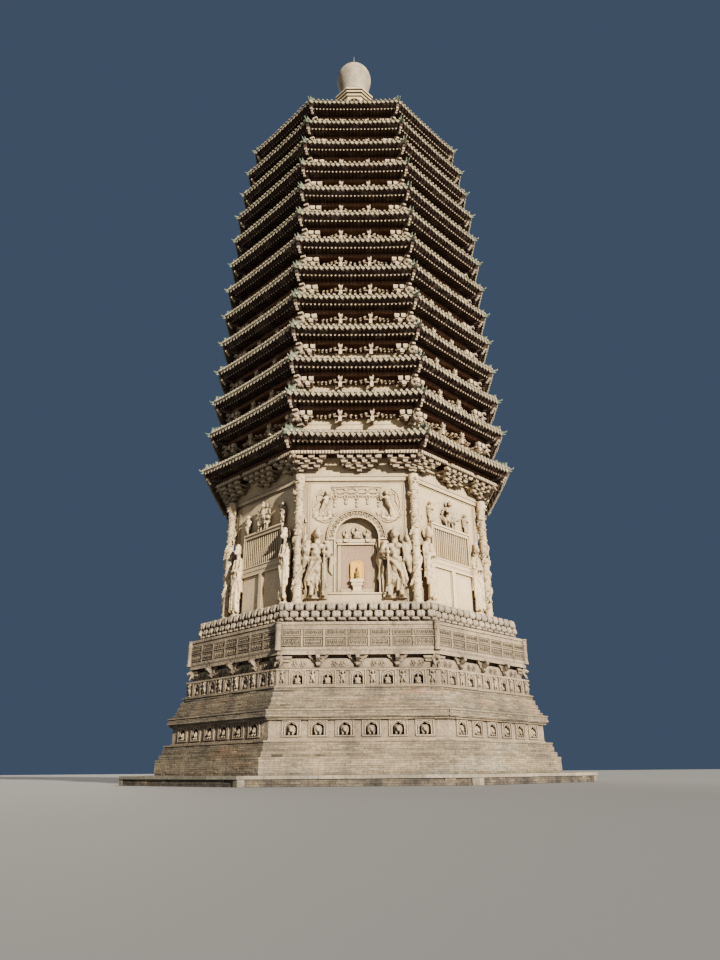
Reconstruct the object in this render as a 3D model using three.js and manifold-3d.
// Octagonal brick pagoda with thirteen close-set eaves, a scale model at 1:2.
// Millimetres, +Z up, origin on the ground at the middle of the foot, front face towards -Y.
// "Reach" is the distance from the upright axis to the middle of one of the eight faces.

import * as THREE from "three";
import { mergeVertices } from "three/addons/utils/BufferGeometryUtils.js";
import Module from "manifold-3d";

const wasm = await Module();
wasm.setup();

// Driving dimensions

const FACES = 8;
const FACE_STEP = (2 * Math.PI) / FACES;
const HALF_STEP = FACE_STEP / 2;
const GAP = 0.3;

// Heights where one course ends and the next one starts.
const Z_STYLOBATE = 217;
const Z_PLINTH = 935;
const Z_LOWER_TIER = 1374;
const Z_MIDDLE = 2125;
const Z_UPPER_TIER = 2511;
const Z_BALCONY = 2955;
const Z_BALUSTRADE = 3640;
const Z_LOTUS = 4180;
const Z_WALL_HEAD = 7650;
const Z_ARCHITRAVE = 7850;

// Walled storey.
const WALL_REACH = 3640;
const WALL_DEPTH = 200;
const WALL_HALF_WIDTH = 1305;
const COLUMN_RADIUS = 131;
const COLUMN_CENTRE = 4085;
const ARCHITRAVE_REACH = 3700;

// Arched blind doors.
const DOOR_HALF_WIDTH = 640;
const DOOR_SILL = 4580;
const DOOR_SPRING = 6044;
const ARCHIVOLT_RADIUS = 815;
const ARCHIVOLT_RELIEF = 50;
const ARCH_SEGMENTS = 12;

// Blind windows.
const WINDOW_HALF_WIDTH = 700;
const WINDOW_FOOT = 5470;
const WINDOW_HEAD = 6470;
const WINDOW_DEPTH = 70;
const WINDOW_FRAME = 110;
const WINDOW_RELIEF = 40;
const POST_HALF_WIDTH = 60;
const POST_FOOT = 4400;

// Standing figures in half relief on the walls.
const GUARDIAN = { offset: 1040, foot: 4400, height: 1900, radius: 235 };
const ATTENDANT = { offset: 1060, foot: 4400, height: 2050, radius: 150 };

// Niches of the two tiers of the base.
const LOWER_NICHES = { count: 6, pitch: 603, halfWidth: 142, foot: 1041, height: 275, depth: 90 };
const UPPER_NICHES = { count: 5, pitch: 709, halfWidth: 128, foot: 2173, height: 250, depth: 90 };

// The thirteen eaves, from the lowest: distance from the axis to a corner, and height of the edge at a corner.
const EAVE_CORNERS = [5033, 4935, 4890, 4832, 4774, 4752, 4717, 4672, 4610, 4564, 4435, 4301, 4102];
const EAVE_HEIGHTS = [
  8729, 10008, 11143, 12272, 13393, 14479, 15570, 16679, 17777, 18865, 19976, 21075, 22260,
];
const SOFFIT_RISE = -150;
const ROOF_RISE = 480;
const BEAM_INSET = 500;
const NECK_INSET = 864;
const CORNER_LIFT = 60;
const RIDGE_HALF_WIDTH = 38;
const RIDGE_HEIGHT = 90;

// Finial.
const Z_ROOF_APEX = 25500;
const Z_SEAT = 26831;
const SEAT_REACH = 662;
const JEWEL_RADIUS = 732;
const JEWEL_CENTRE = 28179;
const JEWEL_NECK = 550;
const JEWEL_FLAT = 40;
const Z_JEWEL = 28910;
const ROD_RADIUS = 20;
const ROD_TOP = 29760;

// Materials: colour, roughness and metalness of each kind of surface.

const LOOKS = {
  coping: { color: 0xb3aa9b, roughness: 0.9, metalness: 0 },
  brick: { color: 0x9a8f7d, roughness: 0.95, metalness: 0 },
  carving: { color: 0xab9d86, roughness: 0.92, metalness: 0 },
  plaster: { color: 0xcbb798, roughness: 0.9, metalness: 0 },
  brackets: { color: 0x8b6a4a, roughness: 0.85, metalness: 0 },
  tiles: { color: 0x857d6c, roughness: 0.7, metalness: 0 },
  jewel: { color: 0xc9bfae, roughness: 0.85, metalness: 0 },
  gilding: { color: 0xd9a02c, roughness: 0.4, metalness: 0.8 },
  iron: { color: 0x5d5f60, roughness: 0.6, metalness: 0.7 },
};

// Solids and geometries

/** The closed solid of an indexed or plain geometry. */
function toSolid(geometry) {
  const bare = geometry.clone();
  bare.deleteAttribute("normal");
  bare.deleteAttribute("uv");
  const merged = mergeVertices(bare, 1e-3);
  const vertProperties = Float32Array.from(merged.attributes.position.array);
  const triVerts = Uint32Array.from(merged.index.array);
  return new wasm.Manifold(new wasm.Mesh({ numProp: 3, vertProperties, triVerts }));
}

/** The geometry of a solid, with one normal to a facet. */
function toGeometry(solid) {
  const mesh = solid.getMesh();
  const geometry = new THREE.BufferGeometry();
  geometry.setAttribute("position", new THREE.BufferAttribute(mesh.vertProperties, 3));
  geometry.setIndex(new THREE.BufferAttribute(mesh.triVerts, 1));
  const flat = geometry.toNonIndexed();
  flat.computeVertexNormals();
  return flat;
}

/** All pieces joined into one solid. */
function join(pieces) {
  return pieces.reduce((whole, piece) => whole.add(piece));
}

/** A solid with a list of others cut out of it. */
function cut(solid, tools) {
  return tools.reduce((rest, tool) => rest.subtract(tool), solid);
}

/** A stack of rings with the same number of points, closed by flat faces below and above. */
function ringStack(rings) {
  const count = rings[0].length;
  const positions = rings.flat(2);
  const index = [];
  for (let row = 0; row + 1 < rings.length; row += 1) {
    for (let i = 0; i < count; i += 1) {
      const a = row * count + i;
      const b = row * count + ((i + 1) % count);
      index.push(a, b, b + count);
      index.push(a, b + count, a + count);
    }
  }
  const top = (rings.length - 1) * count;
  for (let i = 1; i + 1 < count; i += 1) {
    index.push(0, i + 1, i);
    index.push(top, top + i, top + i + 1);
  }
  const geometry = new THREE.BufferGeometry();
  geometry.setAttribute("position", new THREE.BufferAttribute(new Float32Array(positions), 3));
  geometry.setIndex(index);
  geometry.computeVertexNormals();
  return geometry;
}

/** Direction of the middle of a face, counted from the front anticlockwise as seen from above. */
function faceAngle(face) {
  return -Math.PI / 2 + face * FACE_STEP;
}

/** The eight corners of the plan at a reach and a height. */
function octagon(reach, z) {
  const radius = reach / Math.cos(HALF_STEP);
  return Array.from({ length: FACES }, (_, face) => {
    const angle = faceAngle(face) - HALF_STEP;
    return [radius * Math.cos(angle), radius * Math.sin(angle), z];
  });
}

/** An octagonal course from its outline, a list of [reach, height] from the foot up. */
function course(profile) {
  return ringStack(profile.map(([reach, z]) => octagon(reach, z)));
}

/** A geometry drawn for the front face, turned to another face. */
function ontoFace(geometry, face) {
  return geometry.clone().rotateZ(face * FACE_STEP);
}

/** An upright plate: an outline in [across, height], between two reaches of the front face. */
function plate(outline, innerReach, outerReach) {
  const shape = new THREE.Shape(outline.map(([u, z]) => new THREE.Vector2(u, z)));
  const geometry = new THREE.ExtrudeGeometry(shape, { depth: outerReach - innerReach, bevelEnabled: false });
  geometry.rotateX(Math.PI / 2);
  return geometry.translate(0, -innerReach, 0);
}

/** A rib that points outwards: its side view in [reach, height], centred on an offset across the face. */
function rib(outline, offset, width) {
  const shape = new THREE.Shape(outline.map(([reach, z]) => new THREE.Vector2(reach, z)));
  const geometry = new THREE.ExtrudeGeometry(shape, { depth: width, bevelEnabled: false });
  geometry.rotateX(Math.PI / 2);
  geometry.rotateZ(-Math.PI / 2);
  return geometry.translate(offset + width / 2, 0, 0);
}

/** The corners of a rectangle in [across, height]. */
function rectangle(left, right, foot, head) {
  return [
    [left, foot],
    [right, foot],
    [right, head],
    [left, head],
  ];
}

/** A doorway outline with a half-round head. */
function archOutline(halfWidth, foot, spring, segments = ARCH_SEGMENTS) {
  const outline = [
    [-halfWidth, foot],
    [halfWidth, foot],
  ];
  for (let i = 0; i <= segments; i += 1) {
    const angle = (Math.PI * i) / segments;
    outline.push([halfWidth * Math.cos(angle), spring + halfWidth * Math.sin(angle)]);
  }
  return outline;
}

/** A niche outline with a pointed head, centred on an offset across the face. */
function nicheOutline(offset, niche) {
  const shoulder = niche.foot + niche.height * 0.68;
  const head = niche.foot + niche.height;
  return [
    [offset - niche.halfWidth, niche.foot],
    [offset + niche.halfWidth, niche.foot],
    [offset + niche.halfWidth, shoulder],
    [offset, head],
    [offset - niche.halfWidth, shoulder],
  ];
}

/** The cutters for a row of niches on every face. */
function nicheCutters(niche, reach) {
  const cutters = [];
  for (let face = 0; face < FACES; face += 1) {
    for (let i = 0; i < niche.count; i += 1) {
      const offset = (i - (niche.count - 1) / 2) * niche.pitch;
      const pocket = plate(nicheOutline(offset, niche), reach - niche.depth, reach + niche.depth);
      cutters.push(toSolid(ontoFace(pocket, face)));
    }
  }
  return cutters;
}

/** A standing robed figure, a turned shape half sunk in the front face. */
function figure({ offset, foot, height, radius }) {
  const profile = [
    [0, 0],
    [radius * 0.85, 0],
    [radius, height * 0.12],
    [radius * 0.72, height * 0.5],
    [radius * 0.95, height * 0.72],
    [radius * 0.4, height * 0.83],
    [radius * 0.5, height * 0.92],
    [0, height],
  ];
  const geometry = new THREE.LatheGeometry(
    profile.map(([r, z]) => new THREE.Vector2(r, z)),
    6,
  );
  geometry.rotateX(Math.PI / 2);
  return geometry.translate(offset, -WALL_REACH, foot);
}

// Scene graph

const group = new THREE.Group();

/** One named piece of the pagoda. */
function addPiece(name, geometry, look) {
  const mesh = new THREE.Mesh(geometry, new THREE.MeshStandardMaterial(LOOKS[look]));
  mesh.name = name;
  group.add(mesh);
}

// Base: a low octagonal stylobate, a stepped plinth and two tiers with niches

function buildBase() {
  const stylobate = course([
    [5996, 0],
    [5996, 150],
    [6028, 150],
    [6028, Z_STYLOBATE],
  ]);
  addPiece("stylobate", stylobate, "coping");

  const plinth = course([
    [5234, Z_STYLOBATE],
    [5234, 590],
    [5165, 590],
    [5165, 705],
    [5100, 705],
    [5100, 830],
    [5063, 830],
    [5063, Z_PLINTH],
  ]);
  addPiece("plinth", plinth, "brick");

  const lowerReach = 4883;
  const lowerTier = course([
    [lowerReach, Z_PLINTH],
    [lowerReach, Z_LOWER_TIER],
  ]);
  const lowerNiches = nicheCutters(LOWER_NICHES, lowerReach);
  addPiece("lower_niche_tier", toGeometry(cut(toSolid(lowerTier), lowerNiches)), "carving");

  const middle = course([
    [4934, Z_LOWER_TIER],
    [5021, 1440],
    [5021, 1600],
    [4915, 1600],
    [4915, 1680],
    [4860, 1680],
    [4860, 1760],
    [4809, 1760],
    [4809, 1880],
    [4758, 1880],
    [4758, 2000],
    [4704, 2000],
    [4704, Z_MIDDLE],
  ]);
  addPiece("middle_courses", middle, "brick");

  const upperReach = 4619;
  const upperTier = course([
    [upperReach, Z_MIDDLE],
    [upperReach, Z_UPPER_TIER],
  ]);
  const upperNiches = nicheCutters(UPPER_NICHES, upperReach);
  addPiece("upper_niche_tier", toGeometry(cut(toSolid(upperTier), upperNiches)), "carving");
}

// Balcony: a bracketed course, a panelled balustrade and a lotus throne

function buildBalcony() {
  const wallReach = 4500;
  const railReach = 4629;
  const bracketReach = 4700;
  const wall = course([
    [4656, Z_UPPER_TIER],
    [4656, 2540],
    [wallReach, 2540],
    [wallReach, 2860],
    [railReach - 20, 2860],
    [railReach - 20, Z_BALCONY],
  ]);
  const bracketSide = [
    [wallReach - 60, 2580],
    [bracketReach, 2760],
    [bracketReach, 2880],
    [wallReach - 60, 2880],
  ];
  const pieces = [toSolid(wall)];
  for (let face = 0; face < FACES; face += 1) {
    for (const offset of [-942, 0, 942]) {
      pieces.push(toSolid(ontoFace(rib(bracketSide, offset, 150), face)));
    }
    const cornerScale = 1 / Math.cos(HALF_STEP);
    const cornerSide = bracketSide.map(([reach, z]) => [reach * cornerScale, z]);
    pieces.push(toSolid(rib(cornerSide, 0, 170).rotateZ((face + 0.5) * FACE_STEP)));
  }
  addPiece("balcony_brackets", toGeometry(join(pieces)), "carving");

  const balustrade = course([
    [railReach, Z_BALCONY],
    [railReach, 3049],
    [4600, 3049],
    [4600, 3465],
    [railReach, 3465],
    [railReach, Z_BALUSTRADE],
  ]);
  const posts = octagon(railReach - 20, 0).map(([x, y]) => {
    const post = new THREE.CylinderGeometry(80, 80, Z_BALUSTRADE - Z_BALCONY, 6);
    post.rotateX(Math.PI / 2);
    return toSolid(post.translate(x, y, (Z_BALUSTRADE + Z_BALCONY) / 2));
  });
  addPiece("balustrade", toGeometry(join([toSolid(balustrade), ...posts])), "carving");

  const throne = course([
    [4350, Z_BALUSTRADE],
    [4350, 3712],
    [4400, 3735],
    [4400, 3792],
    [4370, 3792],
    [4415, 3840],
    [4415, 3961],
    [4385, 3961],
    [4430, 4020],
    [4430, 4150],
    [4390, Z_LOTUS],
  ]);
  addPiece("lotus_throne", throne, "carving");
}

// Walled storey: the core with corner piers, round columns and architrave, and eight wall panels

/** The plan of the core: an octagon with a shallow bay in each face that takes a wall panel. */
function corePlan() {
  const bayReach = WALL_REACH - WALL_DEPTH;
  const halfSide = WALL_REACH * Math.tan(HALF_STEP);
  const points = [];
  for (let face = 0; face < FACES; face += 1) {
    const turn = face * FACE_STEP;
    const corners = [
      [-halfSide, -WALL_REACH],
      [-WALL_HALF_WIDTH, -WALL_REACH],
      [-WALL_HALF_WIDTH, -bayReach],
      [WALL_HALF_WIDTH, -bayReach],
      [WALL_HALF_WIDTH, -WALL_REACH],
    ];
    for (const [x, y] of corners) {
      points.push(new THREE.Vector2(x, y).rotateAround(new THREE.Vector2(0, 0), turn));
    }
  }
  return points;
}

function buildCore() {
  const shaft = new THREE.ExtrudeGeometry(new THREE.Shape(corePlan()), {
    depth: Z_WALL_HEAD - Z_LOTUS,
    bevelEnabled: false,
  });
  shaft.translate(0, 0, Z_LOTUS);
  const architrave = course([
    [ARCHITRAVE_REACH, Z_WALL_HEAD],
    [ARCHITRAVE_REACH, Z_ARCHITRAVE],
  ]);
  const pieces = [toSolid(shaft), toSolid(architrave)];
  for (let face = 0; face < FACES; face += 1) {
    const column = new THREE.CylinderGeometry(COLUMN_RADIUS, COLUMN_RADIUS, Z_ARCHITRAVE - Z_LOTUS, 10);
    column.rotateX(Math.PI / 2);
    column.translate(0, -COLUMN_CENTRE, (Z_ARCHITRAVE + Z_LOTUS) / 2);
    column.rotateZ((face + 0.5) * FACE_STEP);
    pieces.push(toSolid(column));
  }
  addPiece("body_core", toGeometry(join(pieces)), "plaster");
}

/** A wall panel with its back just clear of the bay that it fills. */
function wallSlab() {
  const halfWidth = WALL_HALF_WIDTH - GAP;
  const outline = rectangle(-halfWidth, halfWidth, Z_LOTUS, Z_WALL_HEAD);
  return toSolid(plate(outline, WALL_REACH - WALL_DEPTH + GAP, WALL_REACH));
}

/** A mirrored pair of figures, sunk no deeper than the wall panel. */
function figurePair(spec) {
  const front = rectangle(-WALL_HALF_WIDTH * 2, WALL_HALF_WIDTH * 2, Z_LOTUS, Z_WALL_HEAD);
  const outside = toSolid(plate(front, WALL_REACH - WALL_DEPTH / 2, WALL_REACH + WALL_DEPTH * 2));
  return [-1, 1].map((side) => {
    return toSolid(figure({ ...spec, offset: side * spec.offset })).intersect(outside);
  });
}

function doorWall() {
  const jamb = archOutline(ARCHIVOLT_RADIUS, DOOR_SILL, DOOR_SPRING);
  const archivolt = toSolid(plate(jamb, WALL_REACH - WALL_DEPTH / 2, WALL_REACH + ARCHIVOLT_RELIEF));
  const doorway = archOutline(DOOR_HALF_WIDTH, DOOR_SILL, DOOR_SPRING);
  const opening = toSolid(plate(doorway, WALL_REACH - WALL_DEPTH * 2, WALL_REACH + WALL_DEPTH * 2));
  return cut(join([wallSlab(), archivolt, ...figurePair(GUARDIAN)]), [opening]);
}

function windowWall() {
  const outer = rectangle(
    -WINDOW_HALF_WIDTH - WINDOW_FRAME,
    WINDOW_HALF_WIDTH + WINDOW_FRAME,
    WINDOW_FOOT - WINDOW_FRAME,
    WINDOW_HEAD + WINDOW_FRAME,
  );
  const frame = toSolid(plate(outer, WALL_REACH - WINDOW_DEPTH, WALL_REACH + WINDOW_RELIEF));
  const inner = rectangle(-WINDOW_HALF_WIDTH, WINDOW_HALF_WIDTH, WINDOW_FOOT, WINDOW_HEAD);
  const recess = toSolid(plate(inner, WALL_REACH - WINDOW_DEPTH, WALL_REACH + WALL_DEPTH));
  const postOutline = rectangle(-POST_HALF_WIDTH, POST_HALF_WIDTH, POST_FOOT, WINDOW_FOOT - WINDOW_FRAME / 2);
  const post = toSolid(plate(postOutline, WALL_REACH - WINDOW_DEPTH, WALL_REACH + WINDOW_RELIEF));
  return cut(join([wallSlab(), frame, post, ...figurePair(ATTENDANT)]), [recess]);
}

function buildWalls() {
  const sides = ["front", "front_right", "right", "back_right", "back", "back_left", "left", "front_left"];
  const door = toGeometry(doorWall());
  const window = toGeometry(windowWall());
  sides.forEach((side, face) => {
    const geometry = face % 2 === 0 ? door : window;
    addPiece(`wall_${side}`, ontoFace(geometry, face), "plaster");
  });
}

/** A small seated figure on a pedestal, in the front doorway. */
function buildAltarStatue() {
  const standReach = WALL_REACH - WALL_DEPTH / 2;
  const pedestal = toSolid(plate(rectangle(-150, 150, DOOR_SILL, 4939), standReach - 70, standReach + 70));
  const halo = plate(archOutline(150, 4900, 5290), standReach - 30, standReach - 5);
  const seated = new THREE.LatheGeometry(
    [
      [0, 0],
      [66, 0],
      [66, 60],
      [40, 150],
      [58, 260],
      [24, 320],
      [34, 370],
      [0, 420],
    ].map(([r, z]) => new THREE.Vector2(r, z)),
    8,
  );
  seated.rotateX(Math.PI / 2);
  seated.translate(0, -standReach, 4930);
  addPiece("altar_statue", toGeometry(join([pedestal, toSolid(halo), toSolid(seated)])), "gilding");
}

// Eaves: thirteen bracket courses, each under a tiled roof

/** Sizes of one storey, counted from 0 at the lowest eave. */
function storey(i) {
  const reach = EAVE_CORNERS[i] * Math.cos(HALF_STEP);
  const edge = EAVE_HEIGHTS[i];
  const foot = i === 0 ? Z_ARCHITRAVE : EAVE_HEIGHTS[i - 1] + ROOF_RISE;
  const neck = i === 0 ? WALL_REACH : reach - NECK_INSET;
  return { reach, edge, foot, neck, soffit: edge + SOFFIT_RISE, beam: reach - BEAM_INSET };
}

/** A bracket course: a short neck wall, bracket ribs and the eave beam that they carry. */
function bracketCourse(i) {
  const { foot, neck, soffit, beam } = storey(i);
  const beamHeight = 90;
  const underBeam = soffit - beamHeight;
  const ribHeight = i === 0 ? 600 : 270;
  const pieces = [
    toSolid(
      course([
        [neck, foot],
        [neck, underBeam],
        [beam, underBeam],
        [beam, soffit],
      ]),
    ),
  ];
  const side = [
    [neck - 60, underBeam - ribHeight],
    [beam - 20, underBeam + 20],
    [neck - 60, underBeam + 20],
  ];
  const cornerScale = 1 / Math.cos(HALF_STEP);
  const cornerSide = side.map(([reach, z]) => [reach * cornerScale, z]);
  const offsets = i === 0 ? [-740, 0, 740] : [-450, 450];
  for (let face = 0; face < FACES; face += 1) {
    for (const offset of offsets) {
      pieces.push(toSolid(ontoFace(rib(side, offset, 150), face)));
    }
    pieces.push(toSolid(rib(cornerSide, 0, 190).rotateZ((face + 0.5) * FACE_STEP)));
  }
  return join(pieces);
}

/** A ring of a roof: straight in plan, flat along the middle of a face and lifted at its corners. */
function roofRing(reach, z, lift) {
  const halfSide = reach * Math.tan(HALF_STEP);
  const stations = [
    [-1, 1],
    [-0.5, 0.15],
    [0.5, 0.15],
  ];
  const ring = [];
  for (let face = 0; face < FACES; face += 1) {
    const angle = faceAngle(face);
    for (const [along, share] of stations) {
      const x = reach * Math.cos(angle) - along * halfSide * Math.sin(angle);
      const y = reach * Math.sin(angle) + along * halfSide * Math.cos(angle);
      ring.push([x, y, z + lift * share]);
    }
  }
  return ring;
}

/** The points above the tiled edge, from the edge to the neck, in [reach, height]. */
function roofSlope(i) {
  const { reach, edge } = storey(i);
  if (i + 1 < EAVE_CORNERS.length) {
    return [[storey(i + 1).neck + 60, edge + ROOF_RISE]];
  }
  return [
    [2600, 23300],
    [1500, 24350],
    [SEAT_REACH + 60, Z_ROOF_APEX],
  ].map(([at, z]) => [Math.min(at, reach), z]);
}

/** A roof: soffit, rafter ends, tiled edge and slope, with a ridge along each of the eight hips. */
function roof(i) {
  const { reach, edge, soffit, beam } = storey(i);
  const slope = roofSlope(i);
  const tileTop = edge + 60 - CORNER_LIFT;
  const body = ringStack([
    roofRing(beam, soffit, 0),
    roofRing(reach - 150, soffit - 85, CORNER_LIFT * 0.7),
    roofRing(reach, soffit, CORNER_LIFT),
    roofRing(reach, tileTop, CORNER_LIFT),
    ...slope.map(([at, z]) => roofRing(at, z, 0)),
  ]);
  const cornerScale = 1 / Math.cos(HALF_STEP);
  const line = [[reach, tileTop + CORNER_LIFT], ...slope].map(([at, z]) => [at * cornerScale, z]);
  line[0][0] -= 12;
  const top = line.map(([at, z]) => [at, z + RIDGE_HEIGHT]);
  top[top.length - 1] = [line[line.length - 1][0] - RIDGE_HEIGHT, line[line.length - 1][1]];
  const under = line.map(([at, z]) => [at - RIDGE_HEIGHT, z - RIDGE_HEIGHT]).reverse();
  const outline = [...top, ...under];
  const pieces = [toSolid(body)];
  for (let face = 0; face < FACES; face += 1) {
    const ridge = rib(outline, 0, RIDGE_HALF_WIDTH * 2).rotateZ((face + 0.5) * FACE_STEP);
    pieces.push(toSolid(ridge));
  }
  return join(pieces);
}

function buildEaves() {
  for (let i = 0; i < EAVE_CORNERS.length; i += 1) {
    const number = String(i + 1).padStart(2, "0");
    addPiece(`bracket_course_${number}`, toGeometry(bracketCourse(i)), "brackets");
    addPiece(`roof_${number}`, toGeometry(roof(i)), "tiles");
  }
}

// Finial: an octagonal seat with three ledges, a round jewel and a rod

function buildFinial() {
  const seat = course([
    [SEAT_REACH + 40, Z_ROOF_APEX],
    [SEAT_REACH + 40, 25700],
    [SEAT_REACH, 25740],
    [SEAT_REACH, 26427],
    [724, 26427],
    [724, 26544],
    [680, 26544],
    [680, 26593],
    [756, 26593],
    [756, 26689],
    [700, 26689],
    [700, 26725],
    [788, 26725],
    [788, Z_SEAT],
  ]);
  const niches = [];
  for (let face = 0; face < FACES; face += 2) {
    const pocket = plate(archOutline(200, 25900, 26110, 6), SEAT_REACH - 80, SEAT_REACH + 80);
    niches.push(toSolid(ontoFace(pocket, face)));
  }
  addPiece("finial_seat", toGeometry(cut(toSolid(seat), niches)), "jewel");

  const profile = [
    new THREE.Vector2(0, Z_SEAT),
    new THREE.Vector2(JEWEL_NECK, Z_SEAT),
    new THREE.Vector2(JEWEL_NECK + 90, Z_SEAT + 250),
    new THREE.Vector2(JEWEL_NECK, Z_SEAT + 290),
    new THREE.Vector2(JEWEL_NECK, Z_SEAT + 560),
  ];
  const start = -Math.acos((JEWEL_NECK + 90) / JEWEL_RADIUS);
  const end = Math.acos(JEWEL_FLAT / JEWEL_RADIUS);
  const steps = 9;
  for (let i = 0; i <= steps; i += 1) {
    const angle = start + ((end - start) * i) / steps;
    const height = i === steps ? Z_JEWEL : JEWEL_CENTRE + JEWEL_RADIUS * Math.sin(angle);
    profile.push(new THREE.Vector2(JEWEL_RADIUS * Math.cos(angle), height));
  }
  profile.push(new THREE.Vector2(0, Z_JEWEL));
  const jewel = new THREE.LatheGeometry(profile, 16);
  jewel.rotateX(Math.PI / 2);
  addPiece("jewel", jewel, "jewel");

  const rodProfile = [
    [0, Z_JEWEL],
    [34, Z_JEWEL],
    [34, Z_JEWEL + 30],
    [ROD_RADIUS, Z_JEWEL + 45],
    [ROD_RADIUS, ROD_TOP - 80],
    [0, ROD_TOP],
  ].map(([r, z]) => new THREE.Vector2(r, z));
  const rod = new THREE.LatheGeometry(rodProfile, 8);
  rod.rotateX(Math.PI / 2);
  addPiece("finial_rod", rod, "iron");
}

buildBase();
buildBalcony();
buildCore();
buildWalls();
buildAltarStatue();
buildEaves();
buildFinial();

export default group;
